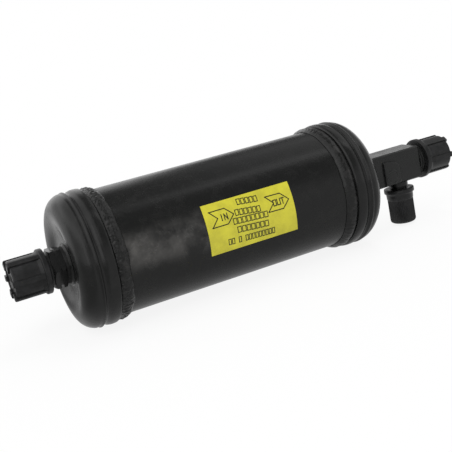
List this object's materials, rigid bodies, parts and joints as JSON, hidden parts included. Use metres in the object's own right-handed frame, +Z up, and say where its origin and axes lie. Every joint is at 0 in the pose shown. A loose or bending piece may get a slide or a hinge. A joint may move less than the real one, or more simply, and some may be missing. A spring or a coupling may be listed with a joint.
{
  "type": "filter drier",
  "caption": "Black in-line filter drier: welded steel shell with drawn heads, threaded inlet fitting, outlet block with a capped service port, and ribbed screw-on dust caps.",
  "frame": {"origin": "on the shell's axis, at the middle of the shell", "axes": "+X along the shell from the inlet to the outlet, +Z up with the service port pointing down, -Y towards the label"},
  "size_m": [0.3094, 0.082, 0.082],
  "materials": {
    "black_paint": "satin black baked paint over steel",
    "black_paint_weld": "gloss black paint over a rippled weld bead",
    "block_paint": "smooth black paint over a machined steel block",
    "black_plastic": "moulded black polyethylene",
    "seal_rubber": "black synthetic rubber",
    "core_brass": "turned brass",
    "spring_steel": "drawn spring wire",
    "desiccant": "moulded block of desiccant beads",
    "filter_felt": "white needled felt",
    "plate_steel": "plain sheet steel",
    "label_film": "yellow printed film label"
  },
  "bodies": {
    "vessel": {"shell_tube": "black_paint", "inlet_head": "black_paint", "outlet_head": "black_paint", "inlet_seam_weld": "black_paint_weld", "outlet_seam_weld": "black_paint_weld", "inlet_fitting": "black_paint", "inlet_fitting_weld": "black_paint_weld", "outlet_block": "block_paint", "outlet_block_weld": "black_paint_weld", "block_plug": "block_paint", "service_port": "block_paint", "valve_core_body": "core_brass", "valve_core_spring": "spring_steel", "desiccant_bed": "desiccant", "inlet_filter_pad": "filter_felt", "outlet_filter_pad": "filter_felt", "inlet_perforated_plate": "plate_steel", "outlet_perforated_plate": "plate_steel", "bed_spring": "spring_steel", "strainer_screen": "plate_steel", "flow_label": "label_film"},
    "inlet_seal": {"inlet_cap_seal": "seal_rubber"},
    "inlet_cap": {"inlet_cap": "black_plastic"},
    "outlet_seal": {"outlet_cap_seal": "seal_rubber"},
    "outlet_cap": {"outlet_cap": "black_plastic"},
    "service_seal": {"service_cap_seal": "seal_rubber"},
    "service_cap": {"service_cap": "black_plastic"},
    "valve_pin": {"valve_core_pin": "spring_steel", "valve_core_seal": "seal_rubber"}
  },
  "joints": [
    {"name": "inlet_cap_lift", "type": "slide", "parent": "vessel", "child": "inlet_seal", "axis": [-1, 0, 0], "range_m": [0, 0.01429]},
    {"name": "inlet_cap_turn", "type": "hinge", "parent": "inlet_seal", "child": "inlet_cap", "pos_m": [-0.12, 0, 0], "axis": [-1, 0, 0], "range_deg": [0, 3250]},
    {"name": "outlet_cap_lift", "type": "slide", "parent": "vessel", "child": "outlet_seal", "axis": [1, 0, 0], "range_m": [0, 0.01429]},
    {"name": "outlet_cap_turn", "type": "hinge", "parent": "outlet_seal", "child": "outlet_cap", "pos_m": [0.16, 0, 0], "axis": [1, 0, 0], "range_deg": [0, 3250]},
    {"name": "service_cap_lift", "type": "slide", "parent": "vessel", "child": "service_seal", "axis": [0, 0, -1], "range_m": [0, 0.01143]},
    {"name": "service_cap_turn", "type": "hinge", "parent": "service_seal", "child": "service_cap", "pos_m": [0.1375, 0, -0.03], "axis": [0, 0, -1], "range_deg": [0, 3250]},
    {"name": "valve_pin_press", "type": "slide", "parent": "vessel", "child": "valve_pin", "axis": [0, 0, 1], "range_m": [0, 0.0013], "stiffness_N_per_m": 100, "springref_m": -0.0003, "deforming": ["valve_core_spring"]}
  ],
  "couplings": [
    {"joint": "inlet_cap_turn", "follows": "inlet_cap_lift", "rad_per_m": 3957.9},
    {"joint": "outlet_cap_turn", "follows": "outlet_cap_lift", "rad_per_m": 3957.9},
    {"joint": "service_cap_turn", "follows": "service_cap_lift", "rad_per_m": 4947.4}
  ]
}
